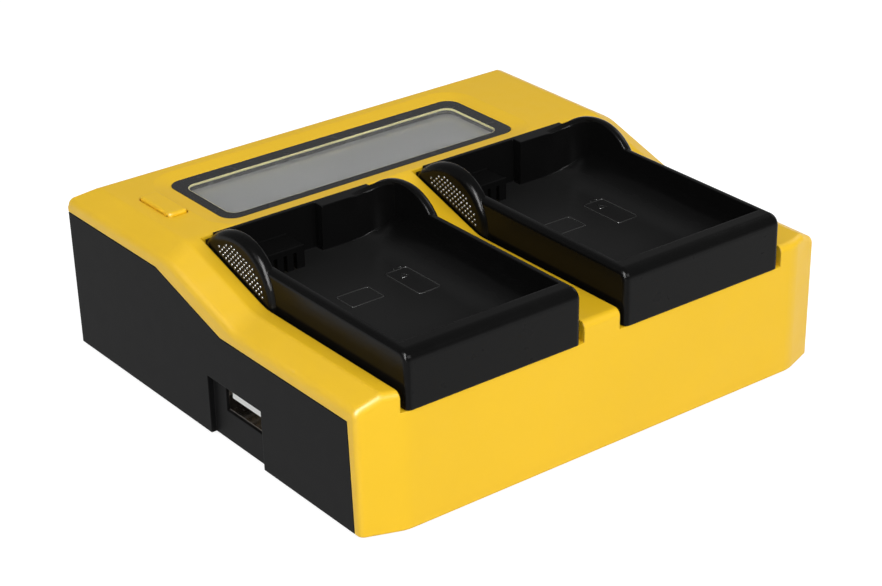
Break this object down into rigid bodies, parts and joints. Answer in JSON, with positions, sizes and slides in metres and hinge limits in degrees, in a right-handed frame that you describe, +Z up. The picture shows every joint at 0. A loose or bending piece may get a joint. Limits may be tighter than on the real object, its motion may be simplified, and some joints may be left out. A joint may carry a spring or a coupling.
{
  "type": "camera battery charger",
  "caption": "Desktop camera battery charger: low stepped housing with a display window, button bar, side USB outlet and slide-out battery trays.",
  "frame": {"origin": "on the table under the middle of the object", "axes": "+X right, +Y to the back, +Z up"},
  "size_m": [0.1188, 0.1072, 0.0423],
  "materials": {
    "yellow_plastic": "satin moulded",
    "black_plastic": "fine matte texture",
    "clear_window": "clear polished",
    "window_mask": "printed",
    "display_glass": "satin grey",
    "white_plastic": "moulded",
    "circuit_board": "solder mask",
    "dark_part": "moulded",
    "ferrite": "sintered",
    "metal": "plated",
    "contact_metal": "plated",
    "rubber": "matt"
  },
  "bodies": {
    "housing": {"top_shell": "yellow_plastic", "bottom_shell": "black_plastic", "display_lens": "clear_window", "display_mask": "window_mask", "lcd_panel": "display_glass", "lcd_backlight": "white_plastic", "display_board": "circuit_board", "tact_switch": "dark_part", "display_cable": "white_plastic", "main_board": "circuit_board", "controller_chip": "dark_part", "power_inductors": "ferrite", "filter_capacitors": "metal", "usb_shell": "metal", "usb_tongue": "white_plastic", "usb_contacts": "contact_metal", "dc_inlet": "dark_part", "dc_inlet_pin": "metal", "left_bay_board": "circuit_board", "right_bay_board": "circuit_board", "left_bay_springs": "contact_metal", "right_bay_springs": "contact_metal", "left_bay_leads": "dark_part", "right_bay_leads": "dark_part", "housing_screws": "metal", "display_screws": "metal", "board_screws": "metal", "rubber_feet": "rubber"},
    "button": {"function_button": "yellow_plastic"},
    "left_tray": {"left_tray": "black_plastic", "left_tray_contacts": "contact_metal"},
    "right_tray": {"right_tray": "black_plastic", "right_tray_contacts": "contact_metal"}
  },
  "joints": [
    {"name": "button_press", "type": "slide", "parent": "housing", "child": "button", "axis": [0, 0, -1], "range_m": [0, 0.0005], "stiffness_N_per_m": 1500},
    {"name": "left_tray_slide", "type": "slide", "parent": "housing", "child": "left_tray", "axis": [0, -1, 0], "range_m": [0, 0.06]},
    {"name": "right_tray_slide", "type": "slide", "parent": "housing", "child": "right_tray", "axis": [0, -1, 0], "range_m": [0, 0.06]}
  ]
}
